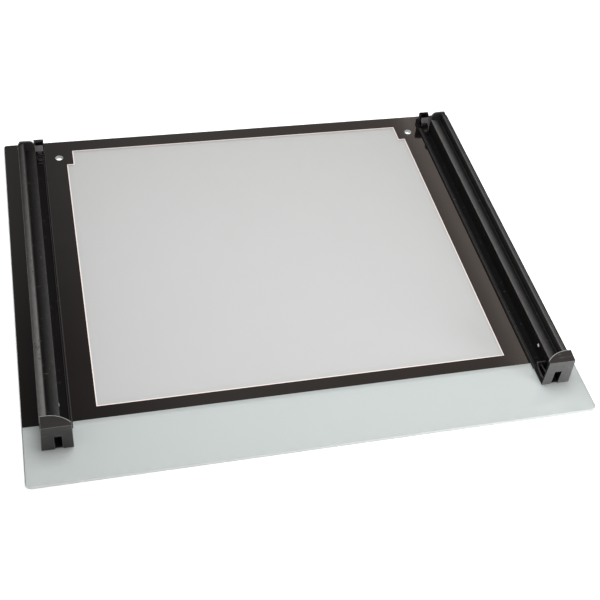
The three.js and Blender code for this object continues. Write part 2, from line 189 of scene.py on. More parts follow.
@dataclass
class Tree:
    """A material's node tree with one method that makes any node."""

    name: str
    owner: Any = field(init=False)

    def __post_init__(self) -> None:
        """Starts an empty tree."""
        self.owner = self.started()
        self.owner.use_nodes = True
        self.owner.node_tree.nodes.clear()

    def started(self) -> Any:
        """A new material that owns the tree."""
        return bpy.data.materials.new(self.name)

    def node(
        self,
        kind: str,
        settings: Mapping[str, Any] | None = None,
        inputs: Mapping[Any, Any] | None = None,
        out: Any = 0,
    ) -> Value:
        """Adds a node.

        Args:
            kind: Blender's node type.
            settings: attributes, set before any socket.
            inputs: socket name or number to a value, or to a Value that is linked.
            out: output socket that the result wraps, or None for a node without one.

        Returns:
            The chosen output.
        """
        made = self.owner.node_tree.nodes.new(kind)
        for key, setting in (settings or {}).items():
            setattr(made, key, setting)
        for key, given in (inputs or {}).items():
            if isinstance(given, Value):
                self.owner.node_tree.links.new(given.socket, made.inputs[key])
            else:
                made.inputs[key].default_value = given
        return Value(self, None if out is None else made.outputs[out])

    def axes(self, vector: Value) -> list[Value]:
        """A vector's three components."""
        return [self.node("ShaderNodeSeparateXYZ", {}, {0: vector}, out=i) for i in range(3)]

    def place(self, stretch: Sequence[float] = (1.0, 1.0, 1.0)) -> Value:
        """Object coordinates in metres, stretched per axis."""
        coordinates = self.node("ShaderNodeTexCoord", out="Object")
        return self.node("ShaderNodeMapping", {}, {"Vector": coordinates, "Scale": tuple(stretch)})

    def noise(
        self, scale: float, detail: float = 3.0, stretch: Sequence[float] = (1.0, 1.0, 1.0)
    ) -> Value:
        """Fractal noise on object coordinates.

        Args:
            scale: cells per metre.
            detail: octaves.
            stretch: per-axis stretch of the coordinates.

        Returns:
            Noise about 0.5.
        """
        inputs = {"Vector": self.place(stretch), "Scale": scale, "Detail": detail}
        return self.node("ShaderNodeTexNoise", {}, inputs, out=0)

    def specks(self, scale: float, radius: float) -> Value:
        """Round specks.

        Args:
            scale: cells per metre.
            radius: speck radius as a share of a cell.

        Returns:
            1 inside a speck and 0 elsewhere.
        """
        cells = self.node(
            "ShaderNodeTexVoronoi", {"feature": "F1"}, {"Vector": self.place(), "Scale": scale}
        )
        return 1 - cells.over(radius, radius * 0.35)

    def blend(self, share: Value, first: Any, second: Any) -> Value:
        """Mixes two colours.

        Args:
            share: 0 for the first and 1 for the second.
            first: colour triple or Value.
            second: colour triple or Value.

        Returns:
            The mixed colour.
        """

        def full(colour: Any) -> Any:
            """A colour triple with its alpha, or the Value as it is."""
            return colour if isinstance(colour, Value) else (*colour, 1.0)

        inputs = {"Factor": share, 6: full(first), 7: full(second)}
        return self.node("ShaderNodeMix", {"data_type": "RGBA"}, inputs, out=2)

    def bump(self, height: Value, strength: float, distance: float) -> Value:
        """A Bump node for the shader's Normal."""
        inputs = {"Height": height, "Strength": strength, "Distance": distance}
        return self.node("ShaderNodeBump", {}, inputs)

    def finish(self, **sockets: Any) -> Material:
        """Closes the material with a Principled shader.

        Args:
            sockets: Principled sockets, with _ for a space.

        Returns:
            The material.
        """
        named = {key.replace("_", " "): given for key, given in sockets.items()}
        shader = self.node("ShaderNodeBsdfPrincipled", {}, named)
        self.node("ShaderNodeOutputMaterial", {}, {"Surface": shader}, out=None)
        return self.owner


@dataclass
class SkyTree(Tree):
    """The surroundings' node tree."""

    def started(self) -> Any:
        """A new world that owns the tree."""
        return bpy.data.worlds.new(self.name)


# -------------------------------------------------------------------- finishes


@dataclass(frozen=True)
class FloatGlass:
    """Toughened float glass: clear at the strip, coated in the window, pale green at the ground edge,
    with painted shade darkening that edge along the two sides.

    The coat stops a little short of the enamel and leaves a clearer, warmer line round the window.
    That line is painted pale and more opaque than clear glass: a painted highlight, which also covers
    the print's shadow on the floor below.
    """

    name: str = "float_glass"
    strip: Colour = (0.415, 0.446, 0.432)
    window: Colour = (0.432, 0.432, 0.422)
    # Painted highlight: the pale line round the window, brighter than clear glass.
    margin_highlight: Colour = (0.90, 0.76, 0.72)
    edge: Colour = (0.42, 0.44, 0.43)
    # Painted shade: the dark ground edge along the two sides.
    side: Colour = (0.075, 0.095, 0.09)
    haze: Colour = (0.45, 0.46, 0.46)
    film: float = 0.55
    margin_highlight_film: float = 0.75
    edge_film: float = 0.75
    line: float = 1.1
    soft: float = 0.35

    def inside(self, across: Value, along: Value, inset: float) -> Value:
        """Mask of the window, drawn in by an inset: a wide box short of the notches, and a narrow one.

        Args:
            across: distance from the centre line in metres.
            along: position from front to back in metres, 0 at mid depth.
            inset: distance kept from the enamel in millimetres.

        Returns:
            1 inside and 0 outside.
        """
        soft = self.soft * MM
        clear = along.over((WINDOW.front + inset - HALF_DEPTH) * MM, soft)
        outside = 1.0
        for trim, short in ((0.0, WINDOW.notch[1]), (WINDOW.notch[0], 0.0)):
            side = across.over((WINDOW.half - trim - inset) * MM, soft)
            end = along.over((WINDOW.back - short - inset - HALF_DEPTH) * MM, soft)
            outside = outside * (1 - (1 - side) * (1 - end))
        return clear * (1 - outside)

    def material(self) -> Material:
        """Builds the glass.

        Returns:
            The material.
        """
        tree = Tree(self.name)
        x, y, _ = tree.axes(tree.place())
        across = x.size()
        from_side = WIDTH / 2 * MM - across
        from_end = HALF_DEPTH * MM - y.size()
        rim = 1 - from_side.over(0.75 * MM, self.soft * MM) * from_end.over(0.3 * MM, 0.3 * MM)
        coat = self.inside(across, y, self.line)
        line = self.inside(across, y, 0.0) - coat
        cloud = tree.noise(5.0, 2.0)
        smear = tree.noise(30.0, 4.0, (1.0, 0.35, 1.0))
        lint = tree.specks(160.0, 0.035) * tree.noise(9.0).over(0.6, 0.05)
        colour = tree.blend(coat, self.strip, self.window)
        colour = tree.blend(cloud * 0.1, colour, self.haze)
        # Painted highlight: the line round the window, pale and more opaque.
        colour = tree.blend(line, colour, self.margin_highlight)
        # Painted shade: the ground edge is dark along the two sides, pale at the front and back.
        ground_with_side_shade = tree.blend(from_side.over(2.0 * MM, 1.0 * MM), self.side, self.edge)
        colour = tree.blend(rim, colour, ground_with_side_shade)
        film = self.film + (smear - 0.5) * 0.012 + lint * 0.05
        film = film + line * (self.margin_highlight_film - self.film)
        film = film + rim * (self.edge_film - self.film)
        rough = 0.04 + smear * 0.03 + rim * 0.3
        return tree.finish(Base_Color=colour, Roughness=rough, Alpha=film, IOR=1.52)


@dataclass(frozen=True)
class BlackEnamel:
    """Fired-on black enamel: near-mirror gloss with faint wipe marks and pinholes."""

    name: str = "black_enamel"
    deep: Colour = (0.0030, 0.0022, 0.0020)
    warm: Colour = (0.0068, 0.0048, 0.0042)
    pinhole: Colour = (0.16, 0.15, 0.14)

    def material(self) -> Material:
        """Builds the enamel.

        Returns:
            The material.
        """
        tree = Tree(self.name)
        cloud = tree.noise(22.0, 3.0)
        wipe = tree.noise(60.0, 5.0, (1.0, 0.22, 1.0))
        pinholes = tree.specks(420.0, 0.06) * tree.noise(30.0).over(0.6, 0.05)
        colour = tree.blend(cloud, self.deep, self.warm)
        colour = tree.blend(pinholes * 0.5, colour, self.pinhole)
        rough = 0.05 + wipe * 0.06 + pinholes * 0.2
        height = tree.noise(900.0, 2.0) * 0.3 + wipe
        return tree.finish(
            Base_Color=colour,
            Roughness=rough,
            Normal=tree.bump(height, 0.02, 0.0001),
            IOR=1.52,
        )


@dataclass(frozen=True)
class Tones:
    """A plastic's colours: its two mottled tones, and its tone where edges are rubbed and highlights
    are painted.
    """

    dark: Colour
    light: Colour
    # Tone of rubbed edges, also used for painted highlights and reflections.
    rubbed: Colour


@dataclass(frozen=True)
class MouldedPlastic:
    """Black moulded plastic: fine spark grain, faint flow lines, dust, and rubbed edges with painted
    highlights.
    """

    name: str
    tones: Tones
    gloss: float = 0.42
    streaks: float = 0.35
    sheen: float = 0.5
    # True for eased-edge materials: rubbed all over, with a painted highlight.
    worn_and_highlit: bool = False
    dirt: Colour = (0.22, 0.21, 0.2)

    def rub_and_highlight_share(self, tree: Tree) -> Value:
        """Where the faces are rubbed and highlights are painted: the mesh's own wear-and-highlight
        attribute.
        """
        return tree.node("ShaderNodeAttribute", {"attribute_name": WEAR_AND_HIGHLIGHT}, out="Fac")

    def material(self) -> Material:
        """Builds the plastic.

        Returns:
            The material.
        """
        tree = Tree(self.name)
        grain = tree.noise(2600.0, 2.0)
        patch = tree.noise(90.0, 4.0)
        flow = tree.noise(650.0, 3.0, (1.0, 0.025, 1.0))
        dust = tree.specks(520.0, 0.10) * tree.noise(70.0).over(0.58, 0.06)
        scuff = tree.noise(420.0, 4.0, (1.0, 0.3, 1.0))
        nicks = tree.specks(230.0, 0.20) * tree.noise(28.0).over(0.55, 0.05)
        scratch = tree.noise(1500.0, 1.0, (0.05, 0.6, 1.0)).over(0.73, 0.02)
        if self.worn_and_highlit:
            rub = 0.55 + scuff * 0.45
        else:
            rub = self.rub_and_highlight_share(tree) * (0.55 + scuff * 0.9) * (1 - nicks * 0.8)
        tone = patch * (1 - self.streaks) + flow * self.streaks
        colour = tree.blend(tone, self.tones.dark, self.tones.light)
        # Rubbed tone where edges are rubbed and where highlights are painted.
        colour = tree.blend(rub, colour, self.tones.rubbed)
        colour = tree.blend(dust * 0.45 + scratch * 0.25, colour, self.dirt)
        rough = self.gloss + (patch - 0.5) * 0.22 + grain * 0.06 - rub * 0.08 + dust * 0.2
        height = grain * 0.45 + flow * self.streaks + patch * 0.4
        return tree.finish(
            Base_Color=colour,
            Roughness=rough,
            Normal=tree.bump(height, 0.22, 0.00018),
            Specular_IOR_Level=self.sheen,
            IOR=1.5,
        )


@dataclass(frozen=True)
class BlockPlastic(MouldedPlastic):
    """The end blocks' plastic: a painted highlight along the top's round edge, and painted light on the
    right block's front face.
    """

    centre: tuple[float, float] = (272.0, 21.4)
    radius: float = 32.1
    band: float = 0.75
    top: float = 38.0
    front: float = 39.4
    past_front: float = 0.4
    soft: float = 0.2
    # Painted light: lightens the right block's front face only.
    dust: float = 0.185

    def rub_and_highlight_share(self, tree: Tree) -> Value:
        """Painted highlight where sqrt(u^2 + v^2) passes the arc's radius less the band; u is 0 past
        its centre.

        Args:
            tree: the finish's tree.

        Returns:
            1 in the band, the share of painted light on the right block's front face and 0 elsewhere.
        """
        x, y, z = tree.axes(tree.place())
        u = (self.centre[0] * MM - x.size()).at_least(0.0)
        v = y - (self.centre[1] - HALF_DEPTH) * MM
        reach = (u * u + v * v) ** 0.5
        # Painted highlight along the top's round edge.
        arc = reach.over((self.radius - self.band) * MM, self.soft * MM)
        front = (self.front + self.past_front - HALF_DEPTH) * MM
        # Painted light on the right block's front face, x > 0 only.
        face = (1 - y.over(front, self.soft * MM)) * x.over(0.0, MM)
        return arc * z.over(self.top * MM, MM) + face * self.dust


@dataclass(frozen=True)
class Silicone:
    """Black silicone bond line: soft sheen with a lumpy squeezed-out surface."""

    name: str = "bond_silicone"
    low: Colour = (0.010, 0.010, 0.010)
    high: Colour = (0.024, 0.023, 0.022)
    lint: Colour = (0.2, 0.2, 0.19)

    def material(self) -> Material:
        """Builds the silicone.

        Returns:
            The material.
        """
        tree = Tree(self.name)
        lumps = tree.noise(260.0, 3.0)
        lint = tree.specks(900.0, 0.07)
        colour = tree.blend(lumps, self.low, self.high)
        colour = tree.blend(lint * 0.4, colour, self.lint)
        return tree.finish(
            Base_Color=colour,
            Roughness=0.34 + lumps * 0.2,
            Normal=tree.bump(lumps, 0.4, 0.0004),
            IOR=1.43,
        )


@dataclass(frozen=True)
class PlatedSteel:
    """Steel with turning marks and dull patches, bright-plated or blackened."""

    name: str
    dull: Colour
    bright: Colour
    metal: float

    def material(self) -> Material:
        """Builds the steel.

        Returns:
            The material.
        """
        tree = Tree(self.name)
        patch = tree.noise(900.0, 3.0)
        turning = tree.noise(5200.0, 2.0, (1.0, 1.0, 0.2))
        colour = tree.blend(patch, self.dull, self.bright)
        return tree.finish(
            Base_Color=colour,
            Metallic=self.metal,
            Roughness=0.22 + patch * 0.22,
            Normal=tree.bump(turning, 0.2, 0.00005),
        )


# Third colour of each: the rubbed tone, which also paints highlights and reflections.
RAIL_TONES = Tones((0.0028, 0.0025, 0.0025), (0.0080, 0.0074, 0.0072), (0.12, 0.115, 0.112))
CAP_TONES = Tones((0.010, 0.0092, 0.0088), (0.026, 0.0238, 0.0225), (0.07, 0.067, 0.065))
# The block's third colour paints the highlight on its top's round edge and the light on the right front
# face.
BLOCK_TONES = Tones((0.010, 0.0090, 0.0087), (0.019, 0.0172, 0.0166), (0.30, 0.29, 0.285))
# Darker copy of the block plastic: painted shade on the faces towards the window.
BLOCK_SHADED_SIDE_TONES = Tones((0.0035, 0.0026, 0.0024), (0.008, 0.0062, 0.0056), (0.03, 0.026, 0.025))
BLOCK_EDGE_TONES = Tones((0.018, 0.0168, 0.016), (0.03, 0.028, 0.027), (0.085, 0.08, 0.078))
CATCH_TONES = Tones((0.05, 0.046, 0.047), (0.10, 0.094, 0.096), (0.2, 0.19, 0.19))


def built(finish: Any) -> Any:
    """A dataclass field that builds a finish's material when its owner is made."""
    return field(default_factory=finish.material)


@dataclass
class Palette:
    """Every finish of the panel, built once."""

    glass: Material = built(FloatGlass())
    enamel: Material = built(BlackEnamel())
    rail: Material = built(
        MouldedPlastic("rail_plastic", RAIL_TONES, gloss=0.46, streaks=0.55, sheen=0.07)
    )
    # Eased edges: rubbing with a painted highlight.
    rail_edge: Material = built(MouldedPlastic("rail_rubbed", RAIL_TONES, sheen=0.2, worn_and_highlit=True))
    block: Material = built(BlockPlastic("block_plastic", BLOCK_TONES, gloss=0.44, streaks=0.2))
    cap: Material = built(MouldedPlastic("cap_plastic", CAP_TONES, gloss=0.44, sheen=0.2))
    # Painted shade: a darker copy of the block plastic for the faces towards the window.
    block_side: Material = built(
        MouldedPlastic("block_side_plastic", BLOCK_SHADED_SIDE_TONES, gloss=0.5, sheen=0.05)
    )
    # Eased edges: rubbing with a painted highlight.
    block_edge: Material = built(MouldedPlastic("block_rubbed", BLOCK_EDGE_TONES, worn_and_highlit=True))
    catch: Material = built(MouldedPlastic("catch_plastic", CATCH_TONES, gloss=0.4, streaks=0.2))
    # Eased edges: rubbing with a painted highlight.
    catch_edge: Material = built(
        MouldedPlastic("catch_rubbed", CATCH_TONES, gloss=0.4, worn_and_highlit=True)
    )
    bond: Material = built(Silicone())
    # Painted glint: near-white plating, mostly diffuse, so the rivet head shows bright under any light.
    pin: Material = built(PlatedSteel("plated_pin", (0.7, 0.7, 0.7), (0.9, 0.89, 0.87), 0.35))
    screw: Material = built(
        PlatedSteel("blackened_screw", (0.02, 0.02, 0.021), (0.06, 0.058, 0.056), 0.6)
    )


# -------------------------------------------------------------------- surfaces


def rounded_loop(
    corners: Sequence[Point], steps: int = 4, guard: float = 0.8
) -> tuple[np.ndarray, np.ndarray]:
    """A closed outline with each corner swapped for a parabola tangent to both its sides.

    The arc is (1-s)^2 A + 2s(1-s) P + s^2 B, where P is the corner and A, B lie its radius away along
    each side. One more point past each end of the arc keeps the rubbed edge and its painted highlight
    narrow.

    Args:
        corners: (u, v, radius) in millimetres; radius 0 keeps the point as it is.
        steps: spans in each arc.
        guard: distance in millimetres over which rubbing and the painted highlight fade.

    Returns:
        Points (n, 2) and rubbing with painted highlight (n,), 1 on arcs and 0 on flats.
    """
    data = np.asarray(corners, float)
    point, radius = data[:, :2], data[:, 2:]
    before, after = np.roll(point, 1, 0) - point, np.roll(point, -1, 0) - point
    long_before = np.linalg.norm(before, axis=1, keepdims=True)
    long_after = np.linalg.norm(after, axis=1, keepdims=True)
    before, after = before / long_before, after / long_after
    reach = np.minimum(radius, 0.45 * np.minimum(long_before, long_after))
    s = np.linspace(0, 1, steps + 1)[None, :, None]
    start, end = (point + before * reach)[:, None], (point + after * reach)[:, None]
    arc = (1 - s) ** 2 * start + 2 * s * (1 - s) * point[:, None] + s**2 * end
    fade_before = np.minimum(reach + guard, 0.49 * long_before)
    fade_after = np.minimum(reach + guard, 0.49 * long_after)
    first = (point + before * fade_before)[:, None]
    last = (point + after * fade_after)[:, None]
    rows = np.concatenate([first, arc, last], 1)
    wear_and_highlight = np.ones(rows.shape[:2])
    wear_and_highlight[:, [0, -1]] = 0
    sharp = data[:, 2] == 0
    keep = np.ones(rows.shape[:2], bool)
    keep[sharp] = False
    keep[sharp, 1] = True
    wear_and_highlight[sharp] = 0
    return rows[keep], wear_and_highlight[keep]


def inset_loop(loop: np.ndarray, distance: float) -> np.ndarray:
    """Moves a loop inwards along its mitred normals.

    Args:
        loop: (n, 2) counter-clockwise points.
        distance: inset in millimetres.

    Returns:
        The inset loop.
    """
    side = np.roll(loop, -1, 0) - loop
    side /= np.maximum(np.linalg.norm(side, axis=1, keepdims=True), 1e-9)
    normal = np.stack([-side[:, 1], side[:, 0]], 1)
    both = normal + np.roll(normal, 1, 0)
    both /= np.maximum(np.linalg.norm(both, axis=1, keepdims=True), 1e-9)
    stretch = 1 / np.maximum((both * normal).sum(1, keepdims=True), 0.5)
    return loop + both * stretch * distance


def counter_clockwise(loop: np.ndarray) -> bool:
    """True if a loop runs counter-clockwise."""
    nxt = np.roll(loop, -1, 0)
    return float((loop[:, 0] * nxt[:, 1] - nxt[:, 0] * loop[:, 1]).sum()) > 0


@dataclass
class Shell:
    """Closed surfaces gathered into one mesh, in millimetres, x from the centre line."""

    points: list[np.ndarray] = field(default_factory=list)
    wear_and_highlight: list[np.ndarray] = field(default_factory=list)
    faces: list[tuple[int, ...]] = field(default_factory=list)
    count: int = 0

    def vertices(self, points: np.ndarray, wear_and_highlight: np.ndarray) -> int:
        """Adds points and returns the number of the first."""
        first = self.count
        self.points.append(points.reshape(-1, 3))
        self.wear_and_highlight.append(wear_and_highlight.ravel())
        self.count += len(self.points[-1])
        return first

    def grid(self, points: np.ndarray, wear_and_highlight: np.ndarray) -> int:
        """Adds quads between the rows of a grid whose last column joins its first.

        Args:
            points: (rows, columns, 3).
            wear_and_highlight: (rows, columns).

        Returns:
            The number of the grid's first vertex.
        """
        rows, columns = points.shape[:2]
        first = self.vertices(points, wear_and_highlight)
        number = first + np.arange(rows * columns).reshape(rows, columns)
        ahead = np.roll(number, -1, 1)
        quads = np.stack([number[:-1], ahead[:-1], ahead[1:], number[1:]], -1)
        self.faces.extend(map(tuple, quads.reshape(-1, 4).tolist()))
        return first

    def sweep(self, section: np.ndarray, wear_and_highlight: np.ndarray, path: np.ndarray) -> None:
        """A closed section carried straight along Y, capped at both ends.

        Args:
            section: (n, 2) x and height.
            wear_and_highlight: (m, n) rubbing and painted highlight.
            path: (m,) distances from the front edge; its end rows get rubbing and a painted highlight.
        """
        n, m = len(section), len(path)
        points = np.empty((m, n, 3))
        points[:, :, 0] = section[None, :, 0]
        points[:, :, 1] = path[:, None] - HALF_DEPTH
        points[:, :, 2] = section[None, :, 1] + GLASS_T
        rubbed = wear_and_highlight.copy()
        rubbed[[0, -1]] = END_WEAR_AND_HIGHLIGHT
        first = self.grid(points, rubbed)
        self.faces.append(tuple(range(first, first + n)))
        self.faces.append(tuple(range(first + (m - 1) * n, first + m * n)))

    def plate(
        self,
        outline: np.ndarray,
        low: float,
        high: float,
        edge: float,
        holes: Sequence[np.ndarray],
        steps: int,
    ) -> None:
        """A flat plate with quarter-round edges and holes, in plan.

        Each loop is carried round the edge profile: inset e(1-cos a), height e(1-sin a) from each face.

        Args:
            outline: (n, 2) outer loop.
            low: height of its under face.
            high: height of its upper face.
            edge: radius of its edges.
            holes: loops of the holes.
            steps: spans in each quarter round.
        """
        a = np.linspace(0, math.pi / 2, steps + 1)
        lower = np.stack([edge * (1 - np.sin(a)), low + edge * (1 - np.cos(a))], 1)
        upper = np.stack([edge * (1 - np.cos(a)), high - edge * (1 - np.sin(a))], 1)
        profile = np.concatenate([lower, upper])
        tops: list[np.ndarray] = []
        firsts: list[int] = []
        for i, loop in enumerate([outline, *holes]):
            ring = loop if counter_clockwise(loop) else loop[::-1]
            sign = 1.0 if i == 0 else -1.0
            rings = np.stack([inset_loop(ring, sign * d) for d, _ in profile])
            points = np.concatenate(
                [rings, np.broadcast_to(profile[:, 1][:, None, None], (*rings.shape[:2], 1))], 2
            )
            points[:, :, 1] -= HALF_DEPTH
            points[:, :, 2] += GLASS_T
            firsts.append(self.grid(points, np.ones(points.shape[:2])))
            tops.append(rings[0])
        self._faces_between(tops, firsts, len(profile))

    def _faces_between(
        self, loops: Sequence[np.ndarray], firsts: Sequence[int], rows: int
    ) -> None:
        """Triangulates the plate's two faces between its loops.

        Args:
            loops: the outline and the holes.
            firsts: first vertex of each loop's grid.
            rows: rows in each grid.
        """
        flat = [Vector(p) for loop in loops for p in loop.tolist()]
        starts = np.cumsum([0, *[len(loop) for loop in loops]])
        edges = [
            (int(s + k), int(s + (k + 1) % n))
            for s, n in zip(starts, [len(loop) for loop in loops])
            for k in range(n)
        ]
        triangles = delaunay_2d_cdt(flat, edges, [], 0, 1e-7)[2]
        centre = np.array([np.mean([flat[i] for i in t], 0) for t in triangles])
        inside = np.ones(len(triangles), bool)
        for i, loop in enumerate(loops):
            hit = inside_loop(centre, loop)
            inside &= hit if i == 0 else ~hit
        lengths = [len(loop) for loop in loops]
        low = np.concatenate([f + np.arange(n) for f, n in zip(firsts, lengths)])
        high = np.concatenate(
            [f + (rows - 1) * n + np.arange(n) for f, n in zip(firsts, lengths)]
        )
        for t, use in zip(triangles, inside):
            if use:
                self.faces.append(tuple(int(low[i]) for i in reversed(t)))
                self.faces.append(tuple(int(high[i]) for i in t))

    def turned(
        self, profile: np.ndarray, centre: Sequence[float], axis: Plane, spans: int = 40
    ) -> None:
        """A profile turned about an axis through centre, closed on the axis at both ends.

        Args:
            profile: (n, 2) radius and position along the axis.
            centre: the point the axis passes through.
            axis: plane whose third entry is the turning axis.
            spans: facets round the axis.
        """
        u, v, w = axis.value
        angle = np.linspace(0, 2 * math.pi, spans, endpoint=False)
        rings = profile[1:-1]
        points = np.zeros((len(rings), spans, 3))
        points[:, :, u] = rings[:, :1] * np.cos(angle)
        points[:, :, v] = rings[:, :1] * np.sin(angle)
        points[:, :, w] = rings[:, 1:]
        points += np.asarray(centre)
        first = self.grid(points, np.zeros(points.shape[:2]))
        ends = np.zeros((2, 3))
        ends[:, w] = profile[[0, -1], 1]
        poles = self.vertices(ends + np.asarray(centre), np.zeros(2))
        last = first + (len(rings) - 1) * spans
        for k in range(spans):
            nxt = (k + 1) % spans
            self.faces.append((poles, first + nxt, first + k))
            self.faces.append((poles + 1, last + k, last + nxt))

    def piece(self, name: str, side: Side, finish: Material) -> bpy.types.Object:
        """Makes the mesh object, mirrored for the left half, faces outwards.

        Args:
            name: object name.
            side: half of the door.
            finish: its material.

        Returns:
            The object.
        """
        points = np.concatenate(self.points)
        points[:, 0] *= side.value
        mesh = bpy.data.meshes.new(name)
        mesh.from_pydata((points * MM).tolist(), [], self.faces)
        mark = mesh.attributes.new(WEAR_AND_HIGHLIGHT, "FLOAT", "POINT")
        mark.data.foreach_set("value", np.concatenate(self.wear_and_highlight).astype(np.float32))
        return finished(name, mesh, finish)


def inside_loop(points: np.ndarray, loop: np.ndarray) -> np.ndarray:
    """Whether points lie in a loop, by counting the sides that a ray along u crosses.

    Args:
        points: (n, 2).
        loop: (m, 2).

    Returns:
        (n,) booleans.
    """
    a, b = loop[None], np.roll(loop, -1, 0)[None]
    p = points[:, None]
    spans = (a[..., 1] > p[..., 1]) != (b[..., 1] > p[..., 1])
    rise = np.where(np.abs(b[..., 1] - a[..., 1]) < 1e-12, 1e-12, b[..., 1] - a[..., 1])
    cross = (b[..., 0] - a[..., 0]) * (p[..., 1] - a[..., 1]) / rise + a[..., 0]
    return (spans & (p[..., 0] < cross)).sum(1) % 2 == 1


def finished(name: str, mesh: bpy.types.Mesh, finish: Material) -> bpy.types.Object:
    """Turns a mesh's faces outwards, shades it and links it.

    Args:
        name: object name.
        mesh: its mesh.
        finish: its material.

    Returns:
        The object.
    """
    work = bmesh.new()
    work.from_mesh(mesh)
    bmesh.ops.remove_doubles(work, verts=work.verts, dist=1e-7)
    bmesh.ops.recalc_face_normals(work, faces=work.faces)
    work.to_mesh(mesh)
    work.free()
    mesh.shade_smooth()
    mesh.set_sharp_from_angle(angle=SMOOTH_ANGLE)
    mesh.materials.append(finish)
    made = bpy.data.objects.new(name, mesh)
    bpy.context.scene.collection.objects.link(made)
    true = made.modifiers.new("true_flats", "WEIGHTED_NORMAL")
    true.mode, true.weight, true.keep_sharp = "FACE_AREA", 100, True
    return made


def eased_copy(
    node: bpy.types.Object, name: str, finish: Material, rubbed: Material, radius: float
) -> bpy.types.Object:
    """A moulding with its edges eased: the CAD solid merged, flattened and bevelled.

    Args:
        node: CAD object to copy.
        name: object name.
        finish: material of the faces.
        rubbed: material of the eased edges, rubbed and painted with a highlight.
        radius: edge radius in millimetres.

    Returns:
        The new object.
    """
    mesh = node.data.copy()
    mesh.materials.clear()
    work = bmesh.new()
    work.from_mesh(mesh)
    bmesh.ops.remove_doubles(work, verts=work.verts, dist=2e-6)
    bmesh.ops.dissolve_limit(
        work, angle_limit=FLAT_ANGLE, verts=work.verts, edges=work.edges
    )
    bmesh.ops.recalc_face_normals(work, faces=work.faces)
    work.to_mesh(mesh)
    work.free()
    mesh.name = name
    mesh.shade_smooth()
    for material in (finish, rubbed):
        mesh.materials.append(material)
    made = bpy.data.objects.new(name, mesh)
    bpy.context.scene.collection.objects.link(made)
    bevel = made.modifiers.new("eased_edges", "BEVEL")
    bevel.width = radius * MM
    bevel.segments = 3
    bevel.limit_method = "ANGLE"
    bevel.angle_limit = EASE_ANGLE
    bevel.harden_normals = True
    # Eased edges take the rubbed material: rubbing with a painted highlight.
    bevel.material = 1
    return made


# ----------------------------------------------------------------- sub-assemblies


@dataclass
class Workbench:
    """What every sub-assembly works with: the frame's CAD nodes and the finishes."""

    nodes: Mapping[str, bpy.types.Object]
    palette: Palette

    def fit(self, piece: bpy.types.Object, body: str, slot: str, *stands_for: str) -> None:
        """Mounts a piece on its body and reports it.

        Args:
            piece: the object.
            body: CAD body it rides on.
            slot: not used.
            stands_for: CAD nodes it replaces.
        """
        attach(piece, body)
        if stands_for:
            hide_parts(*stands_for)
        LOG.info("%s rides on %s, %d faces", piece.name, body, len(piece.data.polygons))


@dataclass
class DoorGlass:
    """The toughened sheet and its enamel border. Sizes in millimetres from the front edge."""

    front_radius: float = 7.0
    back_radius: float = 3.4
    edge: float = 0.7
    strip: float = 70.8
    window_radius: float = 0.5
    hole_x: float = 231.2
    hole_y: float = 483.8
    hole_radius: float = 4.2
    print_hole_radius: float = 4.8
    print_inset: float = 0.55
    print_radius: float = 0.4
    print_under: float = 0.01
    print_thickness: float = 0.2
    print_edge: float = 0.06

    def holes(self, radius: float) -> list[np.ndarray]:
        """The two handle holes as circles."""
        angle = np.linspace(0, 2 * math.pi, 48, endpoint=False)
        ring = radius * np.stack([np.cos(angle), np.sin(angle)], 1)
        return [ring + (x, self.hole_y) for x in (-self.hole_x, self.hole_x)]

    def outline(self, front: float, inset: float) -> np.ndarray:
        """Rounded rectangle from a front line to the back edge.

        Args:
            front: where it starts, from the front edge.
            inset: distance kept from the sheet's edges.

        Returns:
            (n, 2) loop.
        """
        half, back = WIDTH / 2 - inset, DEPTH - inset
        near = self.front_radius if front == 0 else self.print_radius
        corners = [
            (-half, front, near),
            (half, front, near),
            (half, back, self.back_radius),
            (-half, back, self.back_radius),
        ]
        return rounded_loop(corners, steps=10, guard=20.0)[0]

    def window(self) -> np.ndarray:
        """The window's outline, its two back corners notched."""
        trim, short = WINDOW.notch
        wide, narrow = WINDOW.half, WINDOW.half - trim
        shoulder = WINDOW.back - short
        right = [
            (wide, WINDOW.front),
            (wide, shoulder),
            (narrow, shoulder),
            (narrow, WINDOW.back),
        ]
        left = [(-x, y) for x, y in reversed(right)]
        corners = [(x, y, self.window_radius) for x, y in (left[-1], *right, *left[:-1])]
        return rounded_loop(corners, guard=5.0)[0]

    def build(self, bench: Workbench) -> None:
        """Builds the sheet and the border.

        Args:
            bench: workbench.
        """
        sheet = Shell()
        outline = self.outline(0.0, 0.0)
        sheet.plate(outline, -GLASS_T, 0.0, self.edge, self.holes(self.hole_radius), 4)
        pane = sheet.piece("glass_sheet", Side.RIGHT, bench.palette.glass)
        bench.fit(pane, "panel", "glass", "glass_pane")
        ink = Shell()
        loops = [self.window(), *self.holes(self.print_hole_radius)]
        outline = self.outline(self.strip, self.print_inset)
        ink.plate(outline, self.print_under, self.print_thickness, self.print_edge, loops, 2)
        border = ink.piece("enamel_border", Side.RIGHT, bench.palette.enamel)
        bench.fit(border, "panel", "print", "printed_border")


